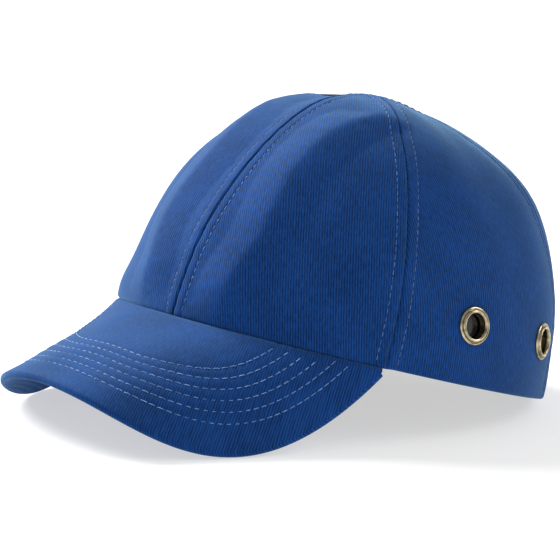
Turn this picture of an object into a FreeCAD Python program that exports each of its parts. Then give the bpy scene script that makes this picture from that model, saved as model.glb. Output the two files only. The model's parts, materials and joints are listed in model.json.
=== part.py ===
"""Bump cap: six cotton panels over a vented ABS shell, with foam pads, sweatband and hook-and-loop strap.

Everything is modelled in the cap's own frame, with the hem in the plane z = 0, the peak towards -Y and the
wearer's left at +X, in millimetres. At the end each piece is tipped back to the way the cap stands on a
table, on the two sides of its peak and the two rear corners of its hem, with the origin under the middle of
its box.
"""

import FreeCAD
import Part

import math
import os

Vec = FreeCAD.Vector
os.makedirs("parts", exist_ok=True)

# ---------------------------------------------------------------- driving dimensions

# Crown, measured on the outside of the cloth. Angles run from the front, positive to the wearer's left.
front_reach = 108.0       # middle of the hem to the front of the crown
rear_reach = 97.5         # middle of the hem to the back of the crown
half_width = 93.5         # middle of the hem to each side
crown_height = 114.0      # hem to apex
apex_forward = 21.5       # how far the apex stands ahead of the middle of the hem
seam_angles = (0.0, 57.5, 121.0, 180.0)
reach_powers = (1.80, 2.10, 1.88, 2.70)    # roundness of the profile near the apex, at each seam
height_powers = (1.80, 2.01, 2.49, 2.75)   # roundness of the profile near the hem, at each seam
apex_gap = 1.2            # the panels stop this far from the apex's axis

cloth = 0.8               # thickness of the cotton drill
tape_width = 14.0         # seam tape inside each crown seam
tape_thickness = 0.4
tape_gap = 0.05           # clearance between the layers that lie on each other
tape_low = 12.0           # height of the tape's lower end above the hem
tape_arch_gap = 2.0       # rear tape's lower end above the binding of the rear opening

# Shell
shell_gap = 2.0           # cloth's inner face to the shell
shell_wall = 2.4
shell_rim_gap = 1.5       # the shell's rim stands this far above the turned-up hem
shell_arch_margin = 9.0   # the shell stays this far from the rear opening
shell_top_hole = 5.0      # radius of the vent at the apex
slot_count = 6
slot_length = 16.0
slot_width = 5.0
slot_circle = 34.0        # distance of the slots' middles from the apex's axis

# Foam
pad_thickness = 4.5
pad_gap = 0.35            # glue line between shell and foam
crown_pad_clear = 3.0     # the crown pads start this far outside the slots
crown_pad_length = 24.0   # length of each crown pad down the crown
crown_pad_angle = 24.0    # half its width
side_pad_low = 40.0
side_pad_high = 66.0
temple_pad_angles = (62.0, 88.0)
rear_pad_angles = (100.0, 126.0)
front_pad_angle = 38.0
front_pad_gap = 2.0       # front pad's top below the front crown pad

# Hem and sweatband
hem_turn_height = 9.0     # height of the turned-up hem
band_gap = 0.3
band_thickness = 1.5
band_low = 1.0
band_high = 33.0
band_end_angle = 138.0
brow_angle = 46.0
brow_thickness = 2.5
brow_low = 6.0
brow_high = 28.0
brow_gap = 0.15

# Peak
peak_angle = 57.0         # the peak is sewn to the hem from -peak_angle to +peak_angle
peak_length = 71.7        # hem to the front edge along the middle
peak_slope = 29.2         # fall of the middle of the peak below the hem's plane, in degrees
peak_roundness = 3.08     # power of the outline across the peak
bend_low = 28.5           # extra fall of the edge towards the sides, second power part
bend_high = 91.0          # and fourth power part
peak_board = 1.6
peak_tuck = 3.0           # inset of the peak's inner edge under the hem
peak_below = 1.75         # middle of the board below the hem
board_margin = 1.4        # cloth beyond the board at the outer edge

# Eyelets
eyelet_angles = (78.5, 108.5)
eyelet_height = 25.5
eyelet_bore = 5.2
eyelet_barrel = 6.0       # outer radius of the barrel
eyelet_flange = 8.4
eyelet_flange_height = 1.3
eyelet_hole_clearance = 0.25
eyelet_seat = 0.02        # flange to cloth
eyelet_throat = 0.3       # height at which the bore opens into the rolled flange
eyelet_washer_gap = 0.5   # cloth's inner face to the washer
eyelet_washer = 0.5
eyelet_washer_step = 0.3  # the washer is this much smaller in radius than the flange
eyelet_curl = 0.4         # the barrel's rolled end behind the washer
eyelet_curl_out = 0.8     # how far the roll spreads over the washer
eyelet_curl_round = 0.3

# Rear opening and strap
arch_half_width = 50.0
arch_height = 56.0
binding_skin = 0.7
binding_width = 6.5
binding_lap = 0.05
binding_angle = 4.0       # the binding's feet reach no nearer than this to the rear seams
binding_reach = 45.0      # nor its crest to the apex's axis
strap_low = 5.0
strap_width = 22.0
strap_thickness = 1.0
hook_gap = 0.1            # hook strap over the binding
loop_gap = 0.2            # loop strap behind it
hook_pile = 0.9
patch_gap = 0.1
root_gap = 0.4            # angle between a strap and its sewn end
strap_start = 150.5       # angle where each strap leaves its sewn end
strap_root = 139.0        # angle where the sewn end stops
hook_end = 164.0          # the hook strap's free end, on the wearer's left
loop_end = 196.0          # the loop strap's free end, past the middle
patch_margin = 2.0
patch_end = 1.0           # angle between a strap's free end and its patch
hook_patch_end = 190.0
loop_patch_end = 160.0

# Label
label_angles = (98.0, 114.0)
label_low = 12.0
label_high = 28.0
label_thickness = 0.25

# Layers, as insets from the cloth's outer face, each from what lies under it
shell_inset = cloth + shell_gap
shell_inner = shell_inset + shell_wall
washer_inset = cloth + eyelet_washer_gap
hook_layer = -(binding_skin + hook_gap + strap_thickness)
loop_layer = cloth + binding_skin + loop_gap
shell_rim = hem_turn_height + shell_rim_gap

# ---------------------------------------------------------------- crown surface

PROFILE_STEPS = 240
PROFILE_BIAS = 1.3        # puts the profile's steps closer together near the hem


def blend(angle, values):
    """Value at an angle between the ones given at the seams, level at each seam."""
    turn = abs((angle + 180.0) % 360.0 - 180.0)
    for low, high, a, b in zip(seam_angles, seam_angles[1:], values, values[1:]):
        if turn <= high + 1e-9:
            share = (turn - low) / (high - low)
            return a + (b - a) * share * share * (3.0 - 2.0 * share)
    return values[-1]


def hem_vector(angle):
    """From the apex's axis to the hem, in plan."""
    turn = math.radians(angle)
    reach = front_reach if math.cos(turn) > 0 else rear_reach
    return Vec(half_width * math.sin(turn), -reach * math.cos(turn) + apex_forward, 0)


def profile(angle):
    """The outer profile at an angle: reach from the axis, height, outward normal and run from the hem."""
    reach = hem_vector(angle).Length
    p, q = blend(angle, reach_powers), blend(angle, height_powers)
    line = []
    for i in range(PROFILE_STEPS + 1):
        turn = (i / PROFILE_STEPS) ** PROFILE_BIAS * math.pi / 2
        line.append((reach * math.cos(turn) ** (2 / p), crown_height * math.sin(turn) ** (2 / q)))
    out, run = [], 0.0
    for i, (d, z) in enumerate(line):
        before, after = line[max(0, i - 1)], line[min(PROFILE_STEPS, i + 1)]
        length = math.hypot(after[0] - before[0], after[1] - before[1])
        normal = ((after[1] - before[1]) / length, (before[0] - after[0]) / length)
        if i:
            run += math.hypot(d - line[i - 1][0], z - line[i - 1][1])
        out.append((d, z, normal, run))
    return out


_profiles = {}


def at(angle, column, value):
    """The profile's row where one of its columns reaches a value: distance, height, normal and run."""
    key = round(angle, 6)
    if key not in _profiles:
        _profiles[key] = profile(angle)
    rows = _profiles[key]
    rising = (lambda row: -row[0]) if column == 0 else (lambda row: row[column])
    value = -value if column == 0 else value
    low, high = 0, len(rows) - 1
    while high - low > 1:
        middle = (low + high) // 2
        if rising(rows[middle]) <= value:
            low = middle
        else:
            high = middle
    a, b = rows[low], rows[high]
    span = rising(b) - rising(a)
    share = min(1.0, max(0.0, (value - rising(a)) / span)) if span else 0.0
    mix = [a[i] + (b[i] - a[i]) * share for i in (0, 1, 3)]
    normal = [a[2][i] + (b[2][i] - a[2][i]) * share for i in (0, 1)]
    length = math.hypot(*normal)
    return mix[0], mix[1], (normal[0] / length, normal[1] / length), mix[2]


def crown_point(angle, inset, height=None, reach=None, run=None):
    """Point on a layer of the crown at an angle, found by its height, its reach from the axis or its run."""
    if height is not None:
        d, z, normal, _ = at(angle, 1, height)
    elif reach is not None:
        d, z, normal, _ = at(angle, 0, reach)
    else:
        d, z, normal, _ = at(angle, 3, run)
    away = hem_vector(angle)
    away.normalize()
    d -= inset * normal[0]
    z -= inset * normal[1]
    return Vec(away.x * d, away.y * d - apex_forward, z)


def runs_to_apex(angle, count, low, top_reach):
    """Even steps along the profile from height low up to a reach from the axis."""
    return spread(at(angle, 1, low)[3], at(angle, 0, top_reach)[3], count)


def spread(low, high, count):
    """count + 1 values from low to high."""
    return [low + (high - low) * i / count for i in range(count + 1)]


# ---------------------------------------------------------------- making solids from sheets

def surface_face(grid):
    """One face through a grid of points."""
    surface = Part.BSplineSurface()
    surface.interpolate(grid)
    return surface.toShape()


def closed_solid(faces):
    """The solid inside a closed set of faces."""
    shell = Part.makeShell(faces)
    shell.sewShape()
    solid = Part.makeSolid(shell)
    if solid.Volume < 0:
        solid.reverse()
    return solid


def sheet_solid(outer, inner):
    """A solid between two grids of the same size, closed by ruled sides."""
    top, bottom = surface_face(outer), surface_face(inner)
    sides = [Part.makeRuledSurface(a, b) for a, b in zip(top.Edges, bottom.Edges)]
    return closed_solid([top, bottom] + sides)


def wall(angle_a, angle_b, low, high, outer, inner, across=8, up=4):
    """A patch of a layer of the crown between two angles and two heights."""
    angles, heights = spread(angle_a, angle_b, across), spread(low, high, up)
    grids = [[[crown_point(a, inset, height=h) for h in heights] for a in angles]
             for inset in (outer, inner)]
    return sheet_solid(*grids)


def gore(angle_a, angle_b, outer, inner, low=0.0, top=None, across=8, up=12):
    """A patch of a layer of the crown between two angles, from a height up to a reach from the axis."""
    top = apex_gap if top is None else top
    angles = spread(angle_a, angle_b, across)
    grids = [[[crown_point(a, inset, run=r) for r in runs_to_apex(a, up, low, top)] for a in angles]
             for inset in (outer, inner)]
    return sheet_solid(*grids)


def arch_prism(margin):
    """The rear opening's outline, widened by a margin, running through the back of the crown."""
    ellipse_x, ellipse_z = arch_half_width + margin, arch_height + margin
    major, minor = max(ellipse_x, ellipse_z), min(ellipse_x, ellipse_z)
    upright = Vec(0, 0, 1) if ellipse_z >= ellipse_x else Vec(1, 0, 0)
    level = Vec(1, 0, 0) if ellipse_z >= ellipse_x else Vec(0, 0, 1)
    ellipse = Part.Ellipse(upright * major, level * minor, Vec(0, 0, 0))
    face = Part.Face(Part.Wire(ellipse.toShape()))
    return face.extrude(Vec(0, 2 * rear_reach, 0))


# ---------------------------------------------------------------- crown pieces

def eyelet_places():
    """Name, centre and outward direction of each eyelet."""
    places = []
    for side, sign in (("left", 1), ("right", -1)):
        for end, angle in zip(("front", "rear"), eyelet_angles):
            centre = crown_point(sign * angle, 0, height=eyelet_height)
            step = 0.5
            along = crown_point(sign * angle + step, 0, height=eyelet_height) - crown_point(
                sign * angle - step, 0, height=eyelet_height)
            rise = crown_point(sign * angle, 0, height=eyelet_height + step) - crown_point(
                sign * angle, 0, height=eyelet_height - step)
            outward = along.cross(rise)
            if outward.dot(Vec(centre.x, centre.y, 0)) < 0:
                outward = outward * -1
            outward.normalize()
            places.append((f"{side}_{end}", centre, outward))
    return places


def crown_panels():
    panels = {}
    names = ("front", "side", "rear")
    for side, sign in (("left", 1), ("right", -1)):
        for name, low, high in zip(names, seam_angles, seam_angles[1:]):
            panel = gore(sign * low, sign * high, 0.0, cloth)
            if name == "side":
                radius, depth = eyelet_barrel + eyelet_hole_clearance, 4 * cloth
                for place, centre, outward in eyelet_places():
                    if place.startswith(side):
                        hole = Part.makeCylinder(radius, 2 * depth, centre - outward * depth, outward)
                        panel = panel.cut(hole)
            if name == "rear":
                panel = panel.cut(arch_prism(0.0))
            panels[f"{name}_{side}_panel"] = panel
    return panels


def seam_tape(angle, low):
    """A strip of even width inside a seam, from a height up to near the apex."""
    outer, inner = cloth + tape_gap, cloth + tape_gap + tape_thickness
    runs = runs_to_apex(angle, 10, low, tape_width)
    grids = []
    for inset in (outer, inner):
        grid = []
        for share in (-1.0, -0.5, 0.0, 0.5, 1.0):
            turns = [math.degrees(share * tape_width / 2 / at(angle, 3, run)[0]) for run in runs]
            grid.append([crown_point(angle + turn, inset, run=run) for turn, run in zip(turns, runs)])
        grids.append(grid)
    return sheet_solid(*grids)


def seam_tapes():
    rear_low = arch_height + binding_width + tape_arch_gap
    tapes = {"front_seam_tape": seam_tape(0.0, tape_low), "rear_seam_tape": seam_tape(180.0, rear_low)}
    for side, sign in (("left", 1), ("right", -1)):
        tapes[f"{side}_side_seam_tape"] = seam_tape(sign * seam_angles[1], tape_low)
        tapes[f"{side}_rear_seam_tape"] = seam_tape(sign * seam_angles[2], tape_low)
    return tapes


def eyelets():
    pieces = {}
    curl_top = -(washer_inset + eyelet_washer)
    barrel_end = curl_top - eyelet_curl
    curl_edge = eyelet_barrel + eyelet_curl_out
    flange_top = Vec((eyelet_bore + eyelet_flange) / 2, 0, eyelet_flange_height)
    corners = [Vec(eyelet_flange, 0, eyelet_seat), Vec(eyelet_barrel, 0, eyelet_seat),
               Vec(eyelet_barrel, 0, curl_top), Vec(curl_edge, 0, curl_top),
               Vec(curl_edge - eyelet_curl_round, 0, barrel_end), Vec(eyelet_bore, 0, barrel_end),
               Vec(eyelet_bore, 0, eyelet_throat)]
    outline = [Part.makeLine(a, b) for a, b in zip(corners, corners[1:])]
    outline.append(Part.Arc(corners[-1], flange_top, corners[0]).toShape())
    for place, centre, outward in eyelet_places():
        turn = FreeCAD.Placement(centre, FreeCAD.Rotation(Vec(0, 0, 1), outward))
        eyelet = Part.Face(Part.Wire(outline)).revolve(Vec(0, 0, 0), Vec(0, 0, 1), 360)
        washer = Part.makeCylinder(eyelet_flange - eyelet_washer_step, eyelet_washer, Vec(0, 0, curl_top))
        washer = washer.cut(Part.makeCylinder(eyelet_barrel, eyelet_washer, Vec(0, 0, curl_top)))
        for name, piece in (("eyelet", eyelet), ("eyelet_washer", washer)):
            piece.Placement = turn.multiply(piece.Placement)
            pieces[f"{place}_{name}"] = piece
    return pieces


# ---------------------------------------------------------------- inside the crown

def shell_piece():
    """The moulded shell: a dome from its rim to the vent at the apex, cut back around the rear opening."""
    quarters = [gore(a, a + 90.0, shell_inset, shell_inner, low=shell_rim, top=shell_top_hole, across=10)
                for a in (-180.0, -90.0, 0.0, 90.0)]
    dome = quarters[0].fuse(quarters[1:]).removeSplitter()
    dome = dome.cut(arch_prism(shell_arch_margin))
    half = (slot_length - slot_width) / 2
    for i in range(slot_count):
        turn = 360.0 * (i + 0.5) / slot_count
        slot = Part.makeBox(2 * half, slot_width, crown_height, Vec(-half, -slot_width / 2, 0))
        for end in (-half, half):
            slot = slot.fuse(Part.makeCylinder(slot_width / 2, crown_height, Vec(end, 0, 0)))
        slot.translate(Vec(slot_circle, 0, crown_height / 2))
        slot.rotate(Vec(0, 0, 0), Vec(0, 0, 1), turn)
        slot.translate(Vec(0, -apex_forward, 0))
        dome = dome.cut(slot)
    return dome


def foam_pads():
    """Foam on the inside of the shell: a ring at the crown, one at the brow, and two on each side."""
    outer = shell_inner + pad_gap
    inner = outer + pad_thickness
    ring_inner = slot_circle + slot_length / 2 + crown_pad_clear
    ring_outer = ring_inner + crown_pad_length
    pads = {}
    for name, middle in (("front", 0.0), ("left", 90.0), ("rear", 180.0), ("right", -90.0)):
        angles = spread(middle - crown_pad_angle, middle + crown_pad_angle, 6)
        reaches = spread(ring_outer, ring_inner, 5)
        grids = [[[crown_point(a, inset, reach=r) for r in reaches] for a in angles]
                 for inset in (outer, inner)]
        pads[f"crown_pad_{name}"] = sheet_solid(*grids)
    for side, sign in (("left", 1), ("right", -1)):
        for name, angles in (("temple", temple_pad_angles), ("rear", rear_pad_angles)):
            ends = [sign * a for a in angles]
            pads[f"{side}_{name}_pad"] = wall(*ends, side_pad_low, side_pad_high, outer, inner)
    front_pad_high = at(0.0, 0, ring_outer)[1] - front_pad_gap
    pads["front_pad"] = wall(-front_pad_angle, front_pad_angle, side_pad_low, front_pad_high, outer, inner)
    return pads


def hem_pieces():
    band_outer = shell_inner + band_gap
    band_inner = band_outer + band_thickness
    turn_up = wall(-band_end_angle, band_end_angle, 0.0, hem_turn_height, cloth + tape_gap, shell_inner,
                   across=24, up=2)
    band = wall(-band_end_angle, band_end_angle, band_low, band_high, band_outer, band_inner, across=24)
    brow = wall(-brow_angle, brow_angle, brow_low, brow_high, band_inner + brow_gap,
                band_inner + brow_thickness, across=12)
    label_outer = band_inner + tape_gap
    label = wall(*label_angles, label_low, label_high, label_outer, label_outer + label_thickness)
    return {"hem_turn_up": turn_up, "sweatband": band, "brow_pad": brow, "care_label": label}


# ---------------------------------------------------------------- peak

def peak_middle(across, out, margin=0.0):
    """A point of the peak's middle: across -1 to 1, out -1 under the hem, 0 at it and 1 at the edge."""
    turn = math.radians(peak_angle * across)
    hem = Vec(half_width * math.sin(turn), -front_reach * math.cos(turn), -peak_below)
    if out < 0:
        inward = Vec(-math.sin(turn), math.cos(turn), 0)
        return hem + inward * (-out * peak_tuck)
    slope = math.radians(peak_slope)
    end_turn = math.radians(peak_angle)
    end_y = -front_reach * math.cos(end_turn)
    front_y = -front_reach - peak_length * math.cos(slope)
    share = abs(math.sin(turn)) / math.sin(end_turn)
    reach = 1 - share ** peak_roundness
    fall = peak_length * math.sin(slope) + bend_low * share ** 2 + bend_high * share ** 4
    edge = Vec(hem.x, end_y + (front_y - end_y) * reach, hem.z - fall * reach)
    length = (edge - hem).Length
    return hem + (edge - hem) * (out * max(0.0, 1 - margin / length))


def peak_lines(offset, margin=0.0, limit=0.975, count=28):
    """Three lines of points offset from the peak's middle surface: under the hem, at it and at the edge."""
    lines, step = [[], [], []], 0.004
    for swing in spread(-90.0, 90.0, count):
        across = limit * math.sin(math.radians(swing))
        for line, out, near, beyond in zip(lines, (-1.0, 0.0, 1.0), (-1.0, -0.3, 0.9), (-0.9, 0.3, 1.0)):
            sideways = peak_middle(across + step, out, margin) - peak_middle(across - step, out, margin)
            outwards = peak_middle(across, beyond, margin) - peak_middle(across, near, margin)
            normal = outwards.cross(sideways)
            normal.normalize()
            line.append(peak_middle(across, out, margin) + normal * offset)
    return lines


def ruled_solid(top_lines, bottom_lines):
    """A solid whose faces are ruled between neighbouring lines, taken round from the top to the bottom."""
    def curve(points):
        line = Part.BSplineCurve()
        line.interpolate(Points=points, Parameters=spread(0.0, 1.0, len(points) - 1))
        return line.toShape()

    ring = [curve(points) for points in top_lines + bottom_lines[::-1]]
    faces = [Part.makeRuledSurface(a, b) for a, b in zip(ring, ring[1:] + ring[:1])]
    for end in (0, -1):
        for i in range(len(top_lines) - 1):
            top = Part.makeLine(top_lines[i][end], top_lines[i + 1][end])
            bottom = Part.makeLine(bottom_lines[i][end], bottom_lines[i + 1][end])
            faces.append(Part.makeRuledSurface(top, bottom))
    return closed_solid(faces)


def peak_pieces():
    half = peak_board / 2
    layers = {
        "peak_top_cover": (half + cloth, half + tape_gap, 0.0),
        "peak_board": (half, -half, board_margin),
        "peak_under_cover": (-half - tape_gap, -half - cloth, 0.0),
    }
    return {name: ruled_solid(peak_lines(top, margin), peak_lines(bottom, margin))
            for name, (top, bottom, margin) in layers.items()}


# ---------------------------------------------------------------- rear opening and strap

def arch_binding():
    low = seam_angles[2] + binding_angle
    high = 360.0 - low
    layer = gore(low, high, -binding_skin, cloth + binding_skin, top=binding_reach, across=20)
    ring = arch_prism(binding_width).cut(arch_prism(-binding_skin))
    width = 2 * (arch_half_width + binding_width)
    above = Part.makeBox(width, 2 * rear_reach, crown_height, Vec(-width / 2, 0, 0))
    band = layer.common(ring).common(above)
    groove = gore(low - 1, high + 1, -binding_lap, cloth + binding_lap, top=binding_reach - 1, across=22)
    return band.cut(groove.cut(arch_prism(-binding_lap)))


def band_piece(angle_a, angle_b, outer, thickness, margin=0.0):
    """A layer of the closure from one angle to another, across the strap's width less its margins."""
    low, high = strap_low + margin, strap_low + strap_width - margin
    return wall(angle_a, angle_b, low, high, outer, outer + thickness, across=10, up=2)


def strap_pieces():
    hook_inner = hook_layer + strap_thickness + tape_gap
    loop_outer = hook_inner + hook_pile + patch_gap
    loop_pile = loop_layer - tape_gap - loop_outer
    far_start, far_root = 360.0 - strap_start, 360.0 - strap_root
    return {
        "hook_strap_root": band_piece(far_start + root_gap, far_root, hook_layer, strap_thickness),
        "hook_strap": band_piece(hook_end, far_start, hook_layer, strap_thickness),
        "hook_patch": band_piece(hook_end + patch_end, hook_patch_end, hook_inner, hook_pile, patch_margin),
        "loop_strap_root": band_piece(strap_root, strap_start - root_gap, loop_layer, strap_thickness),
        "loop_strap": band_piece(strap_start, loop_end, loop_layer, strap_thickness),
        "loop_patch": band_piece(loop_patch_end, loop_end - patch_end, loop_outer, loop_pile, patch_margin),
    }


# ---------------------------------------------------------------- standing on a table

def build():
    pieces = {}
    for make in (crown_panels, seam_tapes, eyelets, foam_pads, hem_pieces, peak_pieces, strap_pieces):
        pieces.update(make())
    pieces["protective_shell"] = shell_piece()
    pieces["arch_binding"] = arch_binding()
    return pieces


def rest_turn(pieces):
    """The tilt, in degrees, at which the hem's rear corners and the peak's sides stand on one plane."""
    corner = crown_point(180.0 - math.degrees(math.asin(arch_half_width / half_width)), 0, height=0.0)
    steepest = 0.0
    for offset in (-peak_board / 2 - cloth, peak_board / 2 + cloth):
        for point in peak_lines(offset, count=60)[-1]:
            steepest = max(steepest, math.atan2(corner.z - point.z, corner.y - point.y))
    return math.degrees(steepest)


pieces = build()
rest_tilt = rest_turn(pieces)
for piece in pieces.values():
    piece.rotate(Vec(0, 0, 0), Vec(1, 0, 0), -rest_tilt)
box = FreeCAD.BoundBox()
for piece in pieces.values():
    box.add(piece.optimalBoundingBox(True, False))
to_origin = Vec(-(box.XMin + box.XMax) / 2, -(box.YMin + box.YMax) / 2, -box.ZMin)
for name, piece in pieces.items():
    piece.translate(to_origin)
    piece.exportStep(f"parts/{name}.step")
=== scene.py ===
import json
import math

import bpy
from mathutils import Matrix, Vector, noise


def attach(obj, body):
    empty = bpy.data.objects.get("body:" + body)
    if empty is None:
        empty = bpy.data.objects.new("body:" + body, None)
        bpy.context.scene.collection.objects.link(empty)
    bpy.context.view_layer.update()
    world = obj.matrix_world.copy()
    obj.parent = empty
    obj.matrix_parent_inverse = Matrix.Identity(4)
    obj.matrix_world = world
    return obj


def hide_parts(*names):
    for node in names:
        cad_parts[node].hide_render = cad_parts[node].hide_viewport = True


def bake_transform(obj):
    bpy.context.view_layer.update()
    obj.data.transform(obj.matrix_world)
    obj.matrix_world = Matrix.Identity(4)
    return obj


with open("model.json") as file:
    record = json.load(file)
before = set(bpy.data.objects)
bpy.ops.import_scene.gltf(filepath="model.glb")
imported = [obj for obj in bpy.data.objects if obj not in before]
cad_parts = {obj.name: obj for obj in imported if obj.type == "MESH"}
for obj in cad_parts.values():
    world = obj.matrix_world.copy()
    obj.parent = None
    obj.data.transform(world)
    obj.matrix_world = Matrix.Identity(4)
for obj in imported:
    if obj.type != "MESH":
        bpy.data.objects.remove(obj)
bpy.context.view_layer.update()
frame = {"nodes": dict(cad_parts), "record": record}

bpy.ops.object.select_all(action="DESELECT")

# ---------------------------------------------------------------- crown panels
# Six panels of cotton drill, sewn together along their edges and stretched over the moulded shell. Each seam
# is pressed open and topstitched on both sides, which sinks it in a groove between two low welts. Sizes are
# in metres, in the cap's own frame: hem at height 0, peak towards -Y.

MM = 0.001
opening = next(m for m in frame["record"]["mounts"] if m["name"] == "head_opening")
hem_middle = Vector(opening["pos_m"])
upward = -Vector(opening["axis"])
backward = Vector((0, upward.z, -upward.y))

crown_front, crown_rear, crown_side = 108 * MM, 97.5 * MM, 93.5 * MM
crown_height, apex_ahead = 114 * MM, 21.5 * MM
seams = (0.0, 57.5, 121.0, 180.0)
reach_powers = (1.80, 2.10, 1.88, 2.70)
height_powers = (1.80, 2.01, 2.49, 2.75)
cloth = 0.8 * MM
hem_radius = 1.3 * MM
welt = 4.8 * MM           # seam to topstitch
arch_side, arch_top = 50 * MM, 56 * MM


def in_cap(x, y, z):
    """A point given in the cap's own frame."""
    return hem_middle + Vector((x, 0, 0)) + backward * y + upward * z


def smooth(value, low, high):
    share = min(1.0, max(0.0, (value - low) / (high - low)))
    return share * share * (3 - 2 * share)


def at_seams(angle, values):
    """A value at an angle between the ones at the seams."""
    turn = abs((angle + 180) % 360 - 180)
    for low, high, a, b in zip(seams, seams[1:], values, values[1:]):
        if turn <= high + 1e-9:
            return a + (b - a) * smooth(turn, low, high)
    return values[-1]


def plan(angle):
    """Distance and direction from the apex's axis to the hem, in plan."""
    turn = math.radians(angle)
    reach = crown_front if math.cos(turn) > 0 else crown_rear
    x, y = crown_side * math.sin(turn), apex_ahead - reach * math.cos(turn)
    return math.hypot(x, y), math.atan2(x, -y)


meridians = {}


def meridian(angle):
    """The crown's profile at an angle, as rows of distance from the axis, height, and run from the hem."""
    key = round(angle, 4)
    if key not in meridians:
        reach, p, q = plan(angle)[0], at_seams(angle, reach_powers), at_seams(angle, height_powers)
        rows, run = [], 0.0
        for i in range(201):
            turn = (i / 200) ** 1.3 * math.pi / 2
            row = (reach * math.cos(turn) ** (2 / p), crown_height * math.sin(turn) ** (2 / q))
            run += math.dist(row, rows[-1][:2]) if rows else 0.0
            rows.append((*row, run))
        meridians[key] = rows
    return meridians[key]


def on_meridian(angle, value, column):
    """Distance from the axis, height, run and outward slope where a column of the profile reaches a value."""
    rows = meridian(angle)
    low, high = 0, len(rows) - 1
    while high - low > 1:
        middle = (low + high) // 2
        low, high = (middle, high) if rows[middle][column] <= value else (low, middle)
    a, b = rows[low], rows[high]
    share = min(1.0, max(0.0, (value - a[column]) / (b[column] - a[column])))
    before, after = rows[max(0, low - 1)], rows[min(len(rows) - 1, high + 1)]
    length = math.dist(before[:2], after[:2])
    slope = ((after[1] - before[1]) / length, (before[0] - after[0]) / length)
    return [x + (y - x) * share for x, y in zip(a, b)] + [slope]


def crown(angle, value, lift, column=2):
    """A point of the crown at an angle and a run from the hem, or with column=1 a height, raised by lift."""
    d, z, _, slope = on_meridian(angle, value, column)
    turn = plan(angle)[1]
    d, z = d + lift * slope[0], z + lift * slope[1]
    return in_cap(d * math.sin(turn), -d * math.cos(turn) - apex_ahead, z)


def seam_distance(angle, d):
    """How far a point at distance d from the axis is from the nearest seam, along the cloth."""
    turn = plan(angle)[1]
    return min(abs(turn - plan(side * seam)[1]) * d for seam in seams for side in (1, -1))


def swell(height, *shares):
    """A soft mound, or a hollow, at distances from its middle that are given as shares of its widths."""
    return height * math.exp(-sum(share ** 2 for share in shares))


def relief(angle, run):
    """How far the cloth stands off the plain shape of the crown."""
    d, z, _, _ = on_meridian(angle, run, 2)
    away = seam_distance(angle, d)
    fade = smooth(d, 2 * MM, 14 * MM)
    groove = -0.65 * MM * math.exp(-(away / (0.45 * MM)) ** 2)
    welts = 0.26 * MM * math.exp(-((away - 2.4 * MM) / (2.3 * MM)) ** 4)
    line = -0.25 * MM * math.exp(-((away - welt) / (0.5 * MM)) ** 2)
    place = Vector((math.sin(math.radians(angle)), math.cos(math.radians(angle)), z * 9))
    pucker = noise.noise(Vector((round(angle / 60) * 7.0, run / (5.5 * MM), away / (9 * MM))))
    pucker *= 0.30 * MM * math.exp(-away / (9 * MM))
    drape = noise.noise(place * 2.6) * 1.4 * MM * smooth(z, 2 * MM, 25 * MM)
    lean = crest_height * (1 - math.sqrt((crest_offset(angle, z, d) / crest_width) ** 2 + crest_softness))
    lean = max(0.0, lean) * smooth(z, -5 * MM, 20 * MM) * smooth(d, 14 * MM, 42 * MM)
    slack = swell(-1.9 * MM, (abs(angle) - 45) / 26, (d - 36 * MM) / (20 * MM))
    flare = swell(2.3 * MM, (z - 5 * MM) / (11 * MM), (angle + 52) / 26)
    haunch = swell(4.4 * MM, (abs(angle) - 137) / 30, (z - 88 * MM) / (20 * MM))
    haunch *= smooth(d, 10 * MM, 44 * MM)
    dent = swell(-1.8 * MM, (d - 15 * MM) / (9 * MM)) * max(0.0, math.cos(math.radians(angle + 46)))
    return (groove + welts + line + pucker + drape) * fade + lean + slack + flare + haunch + dent


crest_height, crest_width, crest_softness = 3.6 * MM, 15 * MM, 0.010
crest_line = (    # height in millimetres and angle
    (-20, 14), (20, 15), (40, 19), (60, 19.5), (70, 20), (80, 22.5), (90, 27), (97, 34), (103, 46), (120, 50))


def crest_offset(angle, z, d):
    """Distance from the soft fold up each front panel, from beside the seam to the top of the side seam."""
    height = z / MM
    for (low, a), (high, b) in zip(crest_line, crest_line[1:]):
        if height <= high:
            crest = a + (b - a) * (height - low) / (high - low)
            return math.radians(abs(angle) - crest) * d
    return math.radians(abs(angle) - crest_line[-1][1]) * d


def grid_piece(name, columns, rows, place):
    """A grid whose vertices go to place(u, v), with u and v from 0 to 1, and its UV map in metres."""
    bpy.ops.mesh.primitive_grid_add(x_subdivisions=columns, y_subdivisions=rows, size=2)
    piece = bpy.context.object
    piece.name = piece.data.name = name
    flat = []
    for vertex in piece.data.vertices:
        vertex.co, cut = place((vertex.co.x + 1) / 2, (vertex.co.y + 1) / 2)
        flat.append(cut)
    layer = piece.data.uv_layers.active.data
    for loop in piece.data.loops:
        layer[loop.index].uv = flat[loop.vertex_index]
    return piece


def apply_modifier(piece, kind, **settings):
    bpy.ops.object.select_all(action="DESELECT")
    piece.select_set(True)
    bpy.context.view_layer.objects.active = piece
    modifier = piece.modifiers.new(kind.title(), kind)
    for key, value in settings.items():
        setattr(modifier, key, value)
    bpy.ops.object.modifier_apply(modifier=modifier.name)
    return piece


def round_edges(piece, radius, segments):
    """Rounds every edge sharper than 60 degrees."""
    apply_modifier(piece, "BEVEL", width=radius, segments=segments, limit_method="ANGLE",
                   angle_limit=math.radians(60))


def finish(piece, body, material, slot, *nodes, smooth_angle=40):
    """Smooths a piece, gives it its material and hangs it on the frame."""
    bpy.ops.object.select_all(action="DESELECT")
    piece.select_set(True)
    bpy.context.view_layer.objects.active = piece
    bpy.ops.object.shade_smooth_by_angle(angle=math.radians(smooth_angle))
    piece.data.materials.clear()
    piece.data.materials.append(material)
    if body:
        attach(piece, body)
    if nodes:
        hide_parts(*nodes)
    return piece


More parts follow.
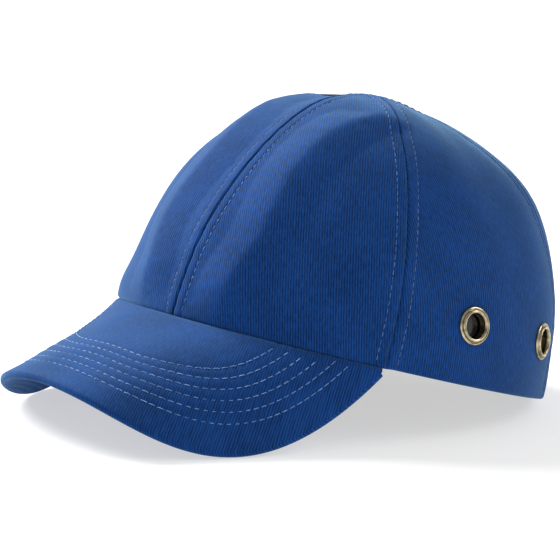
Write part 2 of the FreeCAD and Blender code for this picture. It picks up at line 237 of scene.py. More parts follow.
def linear(colour):
    """An sRGB hex colour as linear light."""
    parts = [int(colour[i:i + 2], 16) / 255 for i in (1, 3, 5)]
    return [c / 12.92 if c <= 0.04045 else ((c + 0.055) / 1.055) ** 2.4 for c in parts] + [1.0]


def add(material, kind, inputs=(), **settings):
    """Adds a node with its settings, and sets or links its inputs."""
    new = material.node_tree.nodes.new(kind)
    for key, value in settings.items():
        setattr(new, key, value)
    for key, value in dict(inputs).items():
        if isinstance(value, bpy.types.NodeSocket):
            material.node_tree.links.new(value, new.inputs[key])
        else:
            new.inputs[key].default_value = value
    return new


def new_material(name):
    material = bpy.data.materials.new(name)
    material.use_nodes = True
    return material, material.node_tree.nodes["Principled BSDF"]


def connect(material, source, socket):
    material.node_tree.links.new(source, socket)


def two_tone(material, value, dark, light, low=0.0, high=1.0):
    """Colours a surface from dark to light as a value goes from low to high."""
    ramp = add(material, "ShaderNodeValToRGB", {"Fac": value})
    for stop, place, colour in zip(ramp.color_ramp.elements, (low, high), (dark, light)):
        stop.position, stop.color = place, linear(colour)
    shader = material.node_tree.nodes["Principled BSDF"]
    connect(material, ramp.outputs["Color"], shader.inputs["Base Color"])


def emboss(material, height, strength, depth, **settings):
    """Raises a surface by a height from 0 to 1."""
    bump = add(material, "ShaderNodeBump", {
        "Height": height, "Strength": strength, "Distance": depth}, **settings)
    shader = material.node_tree.nodes["Principled BSDF"]
    connect(material, bump.outputs["Normal"], shader.inputs["Normal"])


def cotton_drill(name, crest, shaded_valley_colour, lean, rib=1.1 * MM):
    """Piece-dyed cotton drill: fine steep ribs, broken up by the uneven yarn, over a matte and slightly hairy
    ground. Slow patches of lighter and darker dye keep the large panels from looking flat. The colour follows
    the relief: lighter on the raised ribs and yarn, darker in the sunk ones. Part of that is the uneven yarn,
    and part is painted shade in the valleys.
    """
    material, shader = new_material(name)
    cut = add(material, "ShaderNodeTexCoord").outputs["UV"]
    along = add(material, "ShaderNodeMapping", {"Vector": cut, "Rotation": (0, 0, math.radians(lean))})
    ribs = add(material, "ShaderNodeTexWave", {
        "Vector": along.outputs[0], "Scale": math.pi / 10 / rib, "Distortion": 1.6, "Detail": 3.0,
        "Detail Scale": 1.8, "Detail Roughness": 0.7}, wave_type="BANDS", bands_direction="X")
    picks = add(material, "ShaderNodeMapping", {"Vector": along.outputs[0], "Scale": (1.0, 0.22, 1.0)})
    slubs = add(material, "ShaderNodeTexNoise", {
        "Vector": picks.outputs[0], "Scale": 1 / (0.80 * MM), "Detail": 4.0, "Roughness": 0.7})
    weave = add(material, "ShaderNodeMix", {
        "Factor": 0.72, "A": ribs.outputs["Fac"], "B": slubs.outputs["Fac"]})
    dye = add(material, "ShaderNodeTexNoise", {"Vector": cut, "Scale": 1 / (22 * MM), "Detail": 5.0})
    shade = add(material, "ShaderNodeMath", {
        0: dye.outputs["Fac"], 1: 0.30, 2: -0.15}, operation="MULTIPLY_ADD")
    level = add(material, "ShaderNodeMath", {
        0: weave.outputs["Result"], 1: shade.outputs[0]}, operation="ADD")
    # Painted shade: the colour darkens where the weave sinks, so the valleys between the ribs are shaded in
    # the colour as well as by the bump. The uneven yarn and dye add real tone on top.
    two_tone(material, level.outputs[0], shaded_valley_colour, crest, 0.32, 0.68)
    emboss(material, weave.outputs["Result"], 0.7, 0.22 * MM)
    shader.inputs["Roughness"].default_value = 0.80
    shader.inputs["Specular IOR Level"].default_value = 0.07
    shader.inputs["Sheen Weight"].default_value = 0.34
    shader.inputs["Sheen Roughness"].default_value = 0.42
    shader.inputs["Sheen Tint"].default_value = linear("#A4D4EC")
    return material


# In each drill the second colour is the darker tone of the sunk weave. Part of it is painted shade.
front_drill = cotton_drill("Cotton drill, royal blue, front panels", "#13448A", "#07244E", -14)
back_drill = cotton_drill("Cotton drill, royal blue, side and rear panels", "#13448A", "#07244E", -5)


def bottom_run(angle):
    """Where a panel's lower edge is: at the hem, or round the opening at the back."""
    x = crown_side * math.sin(math.radians(angle))
    if abs(angle) < 121 or abs(x) >= arch_side:
        return 0.0
    height = arch_top * math.sqrt(1 - (x / arch_side) ** 2)
    return on_meridian(angle, height, 1)[2]


def punch(piece, centre, axis, radius):
    """Cuts a round hole through a sheet."""
    bpy.ops.mesh.primitive_cylinder_add(vertices=48, radius=radius, depth=12 * MM, location=centre)
    tool = bpy.context.object
    tool.rotation_mode = "QUATERNION"
    tool.rotation_quaternion = axis.to_track_quat("Z", "Y")
    apply_modifier(piece, "BOOLEAN", operation="DIFFERENCE", object=tool, solver="EXACT")
    bpy.data.objects.remove(tool)


def panel(name, start, end, columns=76, rows=96):
    middle = plan((start + end) / 2)[1]

    def place(u, v):
        share = 0.3 * u + 0.7 * (0.5 - 0.5 * math.cos(math.pi * u))
        angle = start + (end - start) * share
        bottom, top = bottom_run(angle) + hem_radius, on_meridian(angle, crown_height, 1)[2] - 0.4 * MM
        roll = min(1.0, v / 0.06)
        run = bottom + (top - bottom) * max(0.0, (v - 0.06) / 0.94)
        turn = math.radians(150) * (1 - roll)
        lift = relief(angle, run) - hem_radius * (1 - math.cos(turn))
        drop = 0.8 * MM * (1 - roll) * smooth(60 - abs(angle), 0, 4)
        point = crown(angle, run, lift) - upward * (hem_radius * math.sin(turn) + drop)
        d = on_meridian(angle, run, 2)[0]
        return point, (d * (plan(angle)[1] - middle), run - hem_radius * turn)

    piece = grid_piece(name + "_cloth", columns, rows, place)
    for mount in frame["record"]["mounts"]:
        if mount["kind"] == "bore" and (Vector(mount["pos_m"]).x > 0) == (start >= 0) and "side" in name:
            punch(piece, Vector(mount["pos_m"]), Vector(mount["axis"]), 6.3 * MM)
    apply_modifier(piece, "SOLIDIFY", thickness=cloth, offset=-1)
    finish(piece, "cap", front_drill if "front" in name else back_drill, "cotton_twill", name)


for side, sign in (("left", 1), ("right", -1)):
    for part, low, high in zip(("front", "side", "rear"), seams, seams[1:]):
        panel(f"{part}_{side}_panel", *sorted((sign * low, sign * high)))

# ---------------------------------------------------------------- topstitching
# Two rows of lockstitch beside every crown seam, in a thread a little lighter than the cloth. Each stitch is
# one short arch of thread that dives into the cloth at both ends.

thread_radius = 0.21 * MM
stitch_length, stitch_gap = 2.6 * MM, 0.7 * MM


def sewing_thread(name, dark, light):
    """Twisted polyester sewing thread: smooth, with a soft shine along the twist."""
    material, shader = new_material(name)
    spot = add(material, "ShaderNodeTexCoord").outputs["Object"]
    fibres = add(material, "ShaderNodeTexNoise", {"Vector": spot, "Scale": 1 / (2.4 * MM), "Detail": 2.0})
    two_tone(material, fibres.outputs["Fac"], dark, light, 0.3, 0.7)
    shader.inputs["Roughness"].default_value = 0.55
    return material


crown_thread = sewing_thread("Polyester sewing thread, mid blue", "#1F4480", "#5478AE")
peak_thread = sewing_thread("Polyester sewing thread, light blue", "#355C9A", "#7A9FD0")


def one_stitch():
    """The vertices and faces of a stitch along X, standing on Z = 0."""
    bpy.ops.mesh.primitive_cylinder_add(
        vertices=6, radius=thread_radius, depth=stitch_length, rotation=(0, math.pi / 2, 0))
    bar = bpy.context.object
    bpy.ops.object.transform_apply(rotation=True)
    bpy.ops.object.mode_set(mode="EDIT")
    bpy.ops.mesh.select_all(action="SELECT")
    for cut in (-0.36, -0.18, 0.0, 0.18, 0.36):
        bpy.ops.mesh.select_all(action="SELECT")
        bpy.ops.mesh.bisect(plane_co=(cut * stitch_length, 0, 0), plane_no=(1, 0, 0))
    bpy.ops.object.mode_set(mode="OBJECT")
    corners = []
    for vertex in bar.data.vertices:
        x, y, z = vertex.co
        share = abs(2 * x / stitch_length)
        thin = 1 - 0.35 * share ** 4
        corners.append(Vector((x, y * thin, z * thin + thread_radius * (0.75 - 1.5 * share ** 3))))
    faces = [tuple(face.vertices) for face in bar.data.polygons]
    bpy.data.objects.remove(bar)
    return corners, faces


stitch_corners, stitch_faces = one_stitch()


def sew(name, lines, body="cap", length=stitch_length, gap=stitch_gap, thread=crown_thread):
    """Rows of stitches along lines of (point, outward normal)."""
    corners, faces = [], []
    stretch = length / stitch_length
    for line in lines:
        runs = [0.0]
        for (a, _), (b, _) in zip(line, line[1:]):
            runs.append(runs[-1] + (b - a).length)
        count = int((runs[-1] + gap) / (length + gap))
        step = 0
        for i in range(count):
            middle = (i + 0.5) * runs[-1] / count
            while step < len(runs) - 2 and runs[step + 1] < middle:
                step += 1
            share = (middle - runs[step]) / (runs[step + 1] - runs[step])
            (a, out_a), (b, out_b) = line[step], line[step + 1]
            centre = a.lerp(b, share)
            along = (b - a).normalized()
            out = out_a.lerp(out_b, share)
            out = (out - along * out.dot(along)).normalized()
            sway = noise.noise(centre * 900) * 0.10
            side = out.cross(along)
            along, side = along + side * sway, side - along * sway
            base = len(corners)
            corners += [centre + along * c.x * stretch + side * c.y + out * c.z for c in stitch_corners]
            faces += [tuple(base + k for k in face) for face in stitch_faces]
    mesh = bpy.data.meshes.new(name)
    mesh.from_pydata(corners, [], faces)
    piece = bpy.data.objects.new(name, mesh)
    bpy.context.scene.collection.objects.link(piece)
    finish(piece, body, thread, "cotton_twill", smooth_angle=80)


def crown_line(seam, offset, low, high, steps=120):
    """A line beside a seam, at an even distance along the cloth, with its outward normals."""
    line = []
    for i in range(steps + 1):
        run = low + (high - low) * i / steps
        d = on_meridian(seam, run, 2)[0]
        angle = seam + math.degrees(offset / d) * seam_spread(seam)
        point, up_point = crown(angle, run, relief(angle, run)), crown(angle, run + 0.5 * MM, 0)
        side_point, plain = crown(angle + 0.2, run, 0), crown(angle, run, 0)
        out = (side_point - plain).cross(up_point - plain).normalized()
        line.append((point, out))
    return line


def seam_spread(seam):
    """How many degrees of hem angle go with one degree of plan direction at a seam."""
    return 1.0 / math.degrees(plan(seam + 0.5)[1] - plan(seam - 0.5)[1]) if abs(seam) < 179 else \
        1.0 / math.degrees(plan(179.5)[1] - plan(178.5)[1])


for label, seam, low in (
        ("front", 0.0, 2 * MM), ("left_side", seams[1], 2 * MM), ("right_side", -seams[1], 2 * MM),
        ("left_rear", seams[2], 2 * MM), ("right_rear", -seams[2], 2 * MM),
        ("rear", 180.0, arch_top + 12 * MM)):
    high = on_meridian(seam, crown_height, 1)[2] - 9 * MM
    sew(f"{label}_seam_topstitch", [crown_line(seam, offset, low, high) for offset in (-welt, welt)])

# ---------------------------------------------------------------- peak
# A curved board between two covers of the same drill. The covers meet in a seam round the rounded edge, and
# six rows of stitching follow the edge and run out at the crown's hem.

peak_angle, peak_length, peak_slope = 57.0, 71.7 * MM, math.radians(29.2)
peak_roundness, bend_low, bend_high = 3.08, 28.5 * MM, 91 * MM
peak_below, peak_tuck = 1.75 * MM, 3 * MM
peak_half = 1.6 * MM      # half the thickness of board and covers together
row_first, row_step, row_count = 11.5 * MM, 4.9 * MM, 6


def peak_middle(across, out):
    """A point of the peak's middle surface, in the cap's own axes: across from -1 to 1, out from -1 to 1."""
    turn = math.radians(peak_angle * across)
    hem = Vector((crown_side * math.sin(turn), -crown_front * math.cos(turn), -peak_below))
    if out < 0:
        return hem + Vector((-math.sin(turn), math.cos(turn), 0)) * (-out * peak_tuck)
    end_y = -crown_front * math.cos(math.radians(peak_angle))
    front_y = -crown_front - peak_length * math.cos(peak_slope)
    share = abs(math.sin(turn)) / math.sin(math.radians(peak_angle))
    reach = 1 - min(1.0, share) ** peak_roundness
    fall = peak_length * math.sin(peak_slope) + bend_low * share ** 2 + bend_high * share ** 4
    edge = Vector((hem.x, end_y + (front_y - end_y) * reach, hem.z - fall * reach))
    return hem + (edge - hem) * (out * max(0.0, 1 - peak_half / (edge - hem).length))


def peak_normal(across, out):
    near, beyond = max(-1.0, out - 0.03), min(1.0, out + 0.03)
    sideways = peak_middle(across + 0.004, out) - peak_middle(across - 0.004, out)
    outwards = peak_middle(across, beyond) - peak_middle(across, near)
    return outwards.cross(sideways).normalized()


peak_limit = 0.992
edge_line = [peak_middle(peak_limit * math.sin(math.radians(a)), 1.0) for a in range(-90, 91)]


def edge_distance(point):
    """How far a point of the peak is from its outer edge."""
    best = min(range(len(edge_line)), key=lambda i: (edge_line[i] - point).length_squared)
    a, b = edge_line[max(0, best - 1)], edge_line[min(len(edge_line) - 1, best + 1)]
    share = min(1.0, max(0.0, (point - a).dot(b - a) / (b - a).length_squared))
    return (point - a.lerp(b, share)).length


def peak_cover(name, side, rows=70, columns=150):
    def place(u, v):
        swing = math.radians(180 * u - 90) * -side
        across = peak_limit * math.sin(swing)
        out = min(1.0, -1 + 2.0 * v / 0.12) if v < 0.06 else min(1.0, (v - 0.06) / 0.84)
        middle, normal = peak_middle(across, out), peak_normal(across, out) * side
        roll = math.radians(90) * max(0.0, (v - 0.90) / 0.10)
        step = peak_middle(across + 0.003, 1.0) - peak_middle(across - 0.003, 1.0)
        outwards = (step.cross(normal) * side).normalized()
        away = edge_distance(middle)
        dip = sum(math.exp(-((away - row_first - k * row_step) / (0.9 * MM)) ** 2) for k in range(row_count))
        puff = noise.noise(middle * 45) * 0.5 * MM * smooth(out, 0.0, 0.2)
        height = peak_half + (puff - 0.30 * MM * dip) * smooth(away, 1 * MM, 8 * MM)
        point = middle + normal * height * math.cos(roll) + outwards * peak_half * math.sin(roll)
        return in_cap(*point), (middle.x, -middle.y * 1.1 + peak_half * roll)

    piece = grid_piece(name + "_cloth", columns, rows, place)
    apply_modifier(piece, "SOLIDIFY", thickness=0.7 * MM, offset=-1)
    finish(piece, "cap", peak_drill, "cotton_twill", name)


peak_drill = cotton_drill("Cotton drill, royal blue, peak", "#13448A", "#07244E", 27, rib=1.05 * MM)
peak_cover("peak_top_cover", 1)
peak_cover("peak_under_cover", -1)


def peak_row(distance, side):
    """A row of stitching at an even distance from the peak's edge, out to where it meets the crown."""
    line = []
    for i in range(-177, 178):
        across = peak_limit * math.sin(math.radians(i / 2))
        if edge_distance(peak_middle(across, 0.0)) < distance:
            continue
        low, high = 0.0, 1.0
        for _ in range(14):
            out = (low + high) / 2
            low, high = (out, high) if edge_distance(peak_middle(across, out)) > distance else (low, out)
        normal = peak_normal(across, low) * side
        point = peak_middle(across, low) + normal * (peak_half - 0.25 * MM)
        turned = backward * normal.y + upward * normal.z + Vector((normal.x, 0, 0))
        line.append((in_cap(*point), turned))
    return line


for side, label in ((1, "top"), (-1, "under")):
    rows = [peak_row(row_first + k * row_step, side) for k in range(row_count)]
    sew(f"peak_{label}_stitch_rows", rows, length=2.9 * MM, gap=0.75 * MM, thread=peak_thread)


def moulded_sheet():
    """Die-cut polyethylene peak board: a white, waxy sheet, hidden between the covers."""
    material, shader = new_material("Polyethylene board, die-cut")
    spot = add(material, "ShaderNodeTexCoord").outputs["Object"]
    grain = add(material, "ShaderNodeTexNoise", {"Vector": spot, "Scale": 1 / (1.5 * MM), "Detail": 2.0})
    emboss(material, grain.outputs["Fac"], 0.3, 0.1 * MM)
    shader.inputs["Base Color"].default_value = linear("#E4E4DF")
    shader.inputs["Roughness"].default_value = 0.5
    return material


board = frame["nodes"]["peak_board"]
board.data.materials.clear()
board.data.materials.append(moulded_sheet())

# ---------------------------------------------------------------- eyelets
# Four pressed brass eyelets, antiqued: a rolled rim inside a thin stepped flange, and a barrel through the
# cloth that is clinched over a washer behind it.


def antique_brass():
    """Antiqued brass: a soft metallic shine, mottled from brown tarnish to pale worn metal."""
    material, shader = new_material("Brass, antiqued and lacquered")
    spot = add(material, "ShaderNodeTexCoord").outputs["Object"]
    tarnish = add(material, "ShaderNodeTexNoise", {"Vector": spot, "Scale": 1 / (3.5 * MM), "Detail": 4.0})
    two_tone(material, tarnish.outputs["Fac"], "#7D7156", "#CEC2A4", 0.35, 0.70)
    rough = add(material, "ShaderNodeMapRange", {
        "Value": tarnish.outputs["Fac"], "To Min": 0.28, "To Max": 0.16})
    connect(material, rough.outputs["Result"], shader.inputs["Roughness"])
    emboss(material, tarnish.outputs["Fac"], 0.15, 0.1 * MM)
    shader.inputs["Metallic"].default_value = 1.0
    return material


brass = antique_brass()
eyelet_section = [(5.25, -2.1), (5.2, -1.0), (5.2, 0.1), (5.28, 0.7), (5.5, 1.25), (5.9, 1.6), (6.35, 1.64),
                  (6.7, 1.35), (6.88, 0.8), (6.95, 0.25), (7.15, 0.15), (7.32, 0.5), (7.6, 0.78), (7.9, 0.72),
                  (8.15, 0.42), (8.2, 0.12), (8.1, 0.0), (6.4, 0.0), (6.0, -0.3), (6.0, -1.8), (6.5, -1.9),
                  (6.4, -2.15)]
for mount in frame["record"]["mounts"]:
    if mount["kind"] != "bore":
        continue
    name = mount["name"].replace("_hole", "")
    centre, axis = Vector(mount["pos_m"]), Vector(mount["axis"])
    aside = axis.orthogonal().normalized()
    mesh = bpy.data.meshes.new(name + "_brass")
    ring = [centre + aside * r * MM + axis * (z + 0.15) * MM for r, z in eyelet_section]
    mesh.from_pydata(ring, [(i, (i + 1) % len(ring)) for i in range(len(ring))], [])
    piece = bpy.data.objects.new(name + "_brass", mesh)
    bpy.context.scene.collection.objects.link(piece)
    bpy.ops.object.select_all(action="DESELECT")
    piece.select_set(True)
    bpy.context.view_layer.objects.active = piece
    bpy.ops.object.mode_set(mode="EDIT")
    bpy.ops.mesh.select_all(action="SELECT")
    bpy.ops.mesh.spin(steps=64, angle=math.tau, center=centre, axis=axis)
    bpy.ops.mesh.select_all(action="SELECT")
    bpy.ops.mesh.remove_doubles(threshold=0.01 * MM)
    bpy.ops.mesh.normals_make_consistent(inside=False)
    bpy.ops.object.mode_set(mode="OBJECT")
    finish(piece, "cap", brass, "brass", name, smooth_angle=50)
    washer = frame["nodes"][name + "_washer"]
    washer.data.materials.clear()
    washer.data.materials.append(brass)

# ---------------------------------------------------------------- shell
# One injection moulding in black ABS, polished on the outside, with slots over the crown for air.


def moulded_abs():
    """Polished black plastic: sharp highlights, a little blurred where the melt flowed unevenly."""
    material, shader = new_material("ABS, injection moulded, black")
    spot = add(material, "ShaderNodeTexCoord").outputs["Object"]
    flow = add(material, "ShaderNodeTexNoise", {"Vector": spot, "Scale": 1 / (12 * MM), "Detail": 3.0})
    rough = add(material, "ShaderNodeMapRange", {
        "Value": flow.outputs["Fac"], "To Min": 0.12, "To Max": 0.26})
    connect(material, rough.outputs["Result"], shader.inputs["Roughness"])
    shader.inputs["Base Color"].default_value = linear("#0B0B0D")
    shader.inputs["IOR"].default_value = 1.54
    return material


shell = frame["nodes"]["protective_shell"]
shell.data.materials.clear()
shell.data.materials.append(moulded_abs())

# ---------------------------------------------------------------- foam pads
# Die-cut pads of closed-cell foam, glued inside the shell, with softly rounded edges.

shell_inner = -(2.8 + 2.4 + 0.45) * MM
pad_thickness = 4.3 * MM


def closed_cell_foam():
    """Closed-cell foam: a dull charcoal skin, pitted with fine cells."""
    material, shader = new_material("EVA foam, closed cell, charcoal")
    spot = add(material, "ShaderNodeTexCoord").outputs["Object"]
    cells = add(material, "ShaderNodeTexVoronoi", {"Vector": spot, "Scale": 1 / (0.9 * MM)})
    grain = add(material, "ShaderNodeTexNoise", {"Vector": spot, "Scale": 1 / (6 * MM), "Detail": 4.0})
    two_tone(material, grain.outputs["Fac"], "#202226", "#383B41")
    emboss(material, cells.outputs["Distance"], 0.5, 0.2 * MM)
    shader.inputs["Roughness"].default_value = 0.9
    return material


foam = closed_cell_foam()


def lining_piece(name, start, end, low, high, lift, thickness, columns, rows, column=1):
    """A strip of even thickness inside the crown, between two angles and two heights or runs."""
    def place(u, v):
        angle, value = start + (end - start) * u, low + (high - low) * v
        return crown(angle, value, lift, column), (crown_side * math.radians(angle), value)

    piece = grid_piece(name, columns, rows, place)
    return apply_modifier(piece, "SOLIDIFY", thickness=thickness, offset=-1)


def pad(node, start, end, low, high, lift=shell_inner, thickness=pad_thickness, column=1):
    piece = lining_piece(node + "_foam", start, end, low, high, lift, thickness, 22, 14, column)
    round_edges(piece, 1.5 * MM, 3)
    finish(piece, "cap", foam, "foam", node)


def run_at_reach(angle, reach):
    """The run from the hem at which the crown comes within a reach of the apex's axis."""
    return next(row[2] for row in meridian(angle) if row[0] <= reach)


pad("front_pad", -38, 38, 40 * MM, 60 * MM)
for side, sign in (("left", 1), ("right", -1)):
    pad(f"{side}_temple_pad", *sorted((sign * 62, sign * 88)), 40 * MM, 66 * MM)
    pad(f"{side}_rear_pad", *sorted((sign * 100, sign * 126)), 40 * MM, 66 * MM)
for label, middle in (("front", 0), ("left", 90), ("rear", 180), ("right", -90)):
    low, high = run_at_reach(middle, 69 * MM), run_at_reach(middle, 45 * MM)
    pad(f"crown_pad_{label}", middle - 24, middle + 24, low, high, column=2)

# ---------------------------------------------------------------- hem, sweatband and brow pad
# The hem's turned-up cloth carries a towelling sweatband, sewn along both edges, with a soft pad at the brow.
# A blank satin label is sewn to it on the wearer's left.


def towelling():
    """Knitted terry with a short loop pile: deep, even and dull."""
    material, shader = new_material("Cotton terry, navy")
    spot = add(material, "ShaderNodeTexCoord").outputs["Object"]
    loops = add(material, "ShaderNodeTexVoronoi", {"Vector": spot, "Scale": 1 / (1.3 * MM)})
    two_tone(material, loops.outputs["Distance"], "#1C3460", "#0D1B38")
    emboss(material, loops.outputs["Distance"], 0.9, 0.4 * MM)
    shader.inputs["Roughness"].default_value = 0.95
    shader.inputs["Sheen Weight"].default_value = 0.4
    return material


terry = towelling()
lining_drill = cotton_drill("Cotton drill, royal blue, turned edges", "#154089", "#07214D", -14)
turn_up = lining_piece("hem_turn_up_cloth", -138, 138, 0.4 * MM, 9 * MM, -1.0 * MM, 4.0 * MM, 160, 6)
round_edges(turn_up, 0.9 * MM, 3)
finish(turn_up, "cap", lining_drill, "cotton_twill", "hem_turn_up")
band = lining_piece("sweatband_terry", -138, 138, 1 * MM, 33 * MM, -5.6 * MM, 1.3 * MM, 180, 14)
round_edges(band, 0.5 * MM, 2)
finish(band, "cap", terry, "sweatband_cloth", "sweatband")
pad("brow_pad", -46, 46, 6 * MM, 28 * MM, lift=-7.15 * MM, thickness=2.3 * MM)


def band_line(height, lift, start, end, outward=-1):
    line = []
    for i in range(161):
        angle = start + (end - start) * i / 160
        point = crown(angle, height, lift, 1)
        inner = crown(angle, height, lift - 1 * MM, 1)
        line.append((point, (point - inner).normalized() * outward))
    return line


sew("sweatband_stitch_rows", [band_line(h * MM, -6.95 * MM, -136, 136) for h in (3.2, 31.0)], gap=1.0 * MM)


def satin_tape():
    """Woven satin: smooth and white, with a faint rib across it."""
    material, shader = new_material("Satin tape, white")
    cut = add(material, "ShaderNodeTexCoord").outputs["UV"]
    ribs = add(material, "ShaderNodeTexWave", {
        "Vector": cut, "Scale": math.pi / 10 / (0.5 * MM)}, bands_direction="X")
    emboss(material, ribs.outputs["Fac"], 0.3, 0.05 * MM)
    shader.inputs["Base Color"].default_value = linear("#E6E5E0")
    shader.inputs["Roughness"].default_value = 0.4
    return material


label_piece = lining_piece("care_label_satin", 98, 114, 12 * MM, 28 * MM, -7.05 * MM, 0.25 * MM, 12, 8)
finish(label_piece, "cap", satin_tape(), "label_tape", "care_label")

# ---------------------------------------------------------------- seam tapes
# A strip of woven tape covers each seam on the inside, under the shell.

tape_drill = cotton_drill("Herringbone tape, navy", "#1B3768", "#0A1B3E", 45, rib=1.2 * MM)
tapes = (("front_seam_tape", 0.0, 12 * MM), ("rear_seam_tape", 180.0, 64.5 * MM),
         ("left_side_seam_tape", seams[1], 12 * MM), ("right_side_seam_tape", -seams[1], 12 * MM),
         ("left_rear_seam_tape", seams[2], 12 * MM), ("right_rear_seam_tape", -seams[2], 12 * MM))
for node, seam, low in tapes:
    bottom, top = on_meridian(seam, low, 1)[2], run_at_reach(seam, 14 * MM)

    def place(u, v, seam=seam, bottom=bottom, top=top):
        run = bottom + (top - bottom) * v
        d = on_meridian(seam, run, 2)[0]
        offset = (u - 0.5) * 13 * MM
        angle = seam + math.degrees(offset / d) * seam_spread(seam)
        return crown(angle, run, -1.95 * MM), (offset, run)

    piece = grid_piece(node + "_cloth", 6, 60, place)
    apply_modifier(piece, "SOLIDIFY", thickness=0.35 * MM, offset=-1)
    finish(piece, "cap", tape_drill, "seam_tape", node)

# ---------------------------------------------------------------- rear opening
# The edge of the opening is bound with a folded strip of the same drill, sewn through near its inner edge.

back_angles = [118 + 2 * i for i in range(63)]


def on_back(x, z, lift):
    """The point of the back of the crown at a distance to the side and a height."""
    best = None
    for angle in back_angles:
        d, height, _, slope = on_meridian(angle, z, 1)
        turn = plan(angle)[1]
        here = ((d + lift * slope[0]) * math.sin(turn), -(d + lift * slope[0]) * math.cos(turn) - apex_ahead,
                height + lift * slope[1])
        if best and (best[0] - x) * (here[0] - x) <= 0:
            share = (x - best[0]) / (here[0] - best[0])
            return in_cap(*[a + (b - a) * share for a, b in zip(best, here)])
        best = here
    return in_cap(*best)


bind_width, bind_skin = 6.4 * MM, 0.35 * MM


def binding_place(u, v):
    swing = math.pi * v
    section = 2 * u - 1
    away = bind_width * min(1.0, abs(section) * 1.25 - 0.25) if abs(section) > 0.2 else 0.0
    edge = max(0.0, 1 - abs(section) / 0.2)
    lift = (bind_skin if section > 0 else -cloth - bind_skin)
    if abs(section) <= 0.2:
        lift = -cloth / 2 + (cloth / 2 + bind_skin) * section / 0.2
        away = -0.5 * MM * math.sqrt(max(0.0, 1 - (section / 0.2) ** 2))
    x, z = (arch_side + away) * math.cos(swing), (arch_top + away) * math.sin(swing)
    puff = 0.12 * MM * math.sin(swing * 60) * (1 - edge)
    lift += puff if section > 0 else -puff
    return on_back(x, max(0.2 * MM, z), lift), (away * section, swing * arch_side)


binding = grid_piece("arch_binding_cloth", 24, 140, binding_place)
apply_modifier(binding, "SOLIDIFY", thickness=0.35 * MM, offset=1)
finish(binding, "cap", lining_drill, "cotton_twill", "arch_binding")
binding_line = []
for i in range(121):
    swing = math.pi * (0.02 + 0.96 * i / 120)
    x, z = (arch_side + 4.9 * MM) * math.cos(swing), (arch_top + 4.9 * MM) * math.sin(swing)
    point, inner = on_back(x, z, bind_skin + 0.4 * MM), on_back(x, z, -1 * MM)
    binding_line.append((point, (point - inner).normalized()))
sew("arch_binding_stitch_row", [binding_line])

# ---------------------------------------------------------------- closure strap
# Two straps of folded drill close the opening. The one sewn to the wearer's right carries the hook tape and
# lies outside, the other carries the loop tape.

strap_low, strap_high = 5 * MM, 27 * MM
row_low, row_high = 7.2, 24.8      # heights of the straps' two rows of stitches, in millimetres
bend_angle = 2.2                   # angle to both sides of each strap's hinge; the straps stay unbent


def hook_and_loop(name, light, dark, pitch, disorder):
    """Woven nylon closure tape: rows of stiff hooks, or a felted mat of loops, with painted shade darkening
    the gaps between them.
    """
    material, shader = new_material(name)
    cut = add(material, "ShaderNodeTexCoord").outputs["UV"]
    pile = add(material, "ShaderNodeTexVoronoi", {"Vector": cut, "Scale": 1 / pitch, "Randomness": disorder})
    # Painted shade: the colour darkens from the raised middles of the hooks or loops towards the sunk gaps
    # between them, in step with the relief.
    two_tone(material, pile.outputs["Distance"], light, dark)
    emboss(material, pile.outputs["Distance"], 1.0, 0.5 * MM, invert=True)
    shader.inputs["Roughness"].default_value = 0.7
    return material


def strap(name, node, start, end, hinge, lift):
    piece = lining_piece(name, start, end, strap_low, strap_high, lift, 1.0 * MM, 70, 12)
    round_edges(piece, 0.3 * MM, 2)
    finish(piece, None, lining_drill, "cotton_twill", node, node + "_root")
    middle = (strap_low + strap_high) / 2
    bend = bend_angle if hinge > 180 else -bend_angle
    sewn, free = crown(hinge + bend, middle, lift, 1), crown(hinge - bend, middle, lift, 1)
    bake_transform(piece)


strap("hook_strap_cloth", "hook_strap", 164, 221, 209.5, 1.8 * MM)
strap("loop_strap_cloth", "loop_strap", 139, 196, 150.5, -1.7 * MM)
hooks = hook_and_loop("Nylon hook tape, navy", "#2A4A84", "#0C1C40", 1.4 * MM, 0.2)
loops = hook_and_loop("Nylon loop tape, navy", "#23417A", "#10244F", 0.9 * MM, 1.0)
hook_piece = lining_piece("hook_patch_tape", 165, 190, 7 * MM, 25 * MM, 0.75 * MM, 0.9 * MM, 40, 10)
finish(hook_piece, "hook_side", hooks, "hook_tape", "hook_patch")
loop_piece = lining_piece("loop_patch_tape", 160, 195, 7 * MM, 25 * MM, -0.25 * MM, 1.4 * MM, 50, 10)
finish(loop_piece, "loop_side", loops, "loop_tape", "loop_patch")


def strap_edges(start, end, lift):
    return [band_line(h * MM, lift, start, end, 1) for h in (row_low, row_high)]


def box_stitch(start, end, lift):
    """A rectangle of stitches at a strap's sewn end, with its two upright sides."""
    lines = strap_edges(start, end, lift)
    for angle in (start, end):
        line = []
        for i in range(12):
            height = (row_low + (row_high - row_low) * i / 11) * MM
            point, inner = crown(angle, height, lift, 1), crown(angle, height, lift - 1 * MM, 1)
            line.append((point, (point - inner).normalized()))
        lines.append(line)
    return lines


sew("hook_strap_box_stitch", box_stitch(211.5, 219.5, 1.85 * MM))
sew("hook_strap_stitch_rows", strap_edges(165.5, 206, 1.85 * MM), body="hook_side")
sew("loop_strap_box_stitch", box_stitch(140.5, 148.0, 0.5 * MM))

# ---------------------------------------------------------------- studio
# A sheet of white paper, lit from below as well, under a broad key from the upper left, a weak light from
# behind and a surround that is brightest at the horizon.

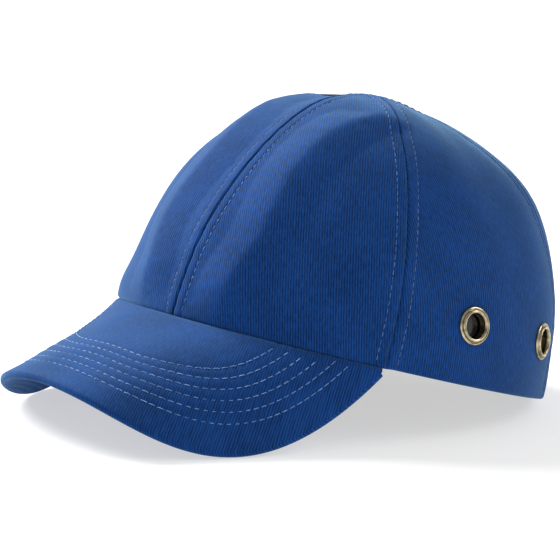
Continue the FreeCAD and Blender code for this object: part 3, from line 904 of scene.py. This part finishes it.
bpy.ops.mesh.primitive_plane_add(size=8, location=(0, 0, 0))
floor = bpy.context.object
floor.name = "floor"
white, paper = new_material("Paper sweep, white")
paper.inputs["Base Color"].default_value = linear("#BABABA")
paper.inputs["Roughness"].default_value = 0.9
paper.inputs["Emission Color"].default_value = (1, 1, 1, 1)
paper.inputs["Emission Strength"].default_value = 0.55
floor.data.materials.append(white)

world = bpy.data.worlds.new("studio")
bpy.context.scene.world = world
world.use_nodes = True
direction = add(world, "ShaderNodeTexCoord").outputs["Generated"]
height = add(world, "ShaderNodeSeparateXYZ", {"Vector": direction})
fall = add(world, "ShaderNodeMapRange", {
    "Value": height.outputs["Z"], "From Min": 0.10, "From Max": 0.40, "To Min": 1.0, "To Max": 0.42})
connect(world, fall.outputs["Result"], world.node_tree.nodes["Background"].inputs["Strength"])
world.node_tree.nodes["Background"].inputs["Color"].default_value = (1, 1, 1, 1)
bpy.context.scene.view_settings.view_transform = "Standard"

azimuth, elevation, roll, distance = 43.99, 10.66, 4.35, 1.0765
aim = Vector((-0.0180, 0.0133, 0.0498))


def hang(lamp, side, rise, away):
    """Hangs a lamp at an azimuth, an elevation and a distance from the cap, aimed at it."""
    side, rise = math.radians(side), math.radians(rise)
    back = Vector((math.sin(side) * math.cos(rise), -math.cos(side) * math.cos(rise), math.sin(rise)))
    facing = back.to_track_quat("Z", "Y").to_matrix().to_4x4()
    light = bpy.data.objects.new(lamp.name, lamp)
    light.matrix_world = Matrix.Translation(aim + back * away) @ facing
    bpy.context.scene.collection.objects.link(light)


key, rim = bpy.data.lights.new("key", "SUN"), bpy.data.lights.new("rim", "AREA")
key.energy, key.angle = 6.3, math.radians(34)
rim.energy, rim.size = 12, 1.0
hang(key, -80, 38, 1.6)
hang(rim, 140, 35, 2.0)

lens = bpy.data.cameras.new("camera")
lens.lens, lens.sensor_width = 153.85, 36
camera = bpy.data.objects.new("camera", lens)
turn = Matrix.Rotation(math.radians(azimuth), 4, "Z") @ Matrix.Rotation(math.radians(90 - elevation), 4, "X")
turn = turn @ Matrix.Rotation(math.radians(roll), 4, "Z")
camera.matrix_world = Matrix.Translation(aim + turn.to_3x3() @ Vector((0, 0, distance))) @ turn
bpy.context.scene.collection.objects.link(camera)
bpy.context.scene.camera = camera

bpy.context.view_layer.update()
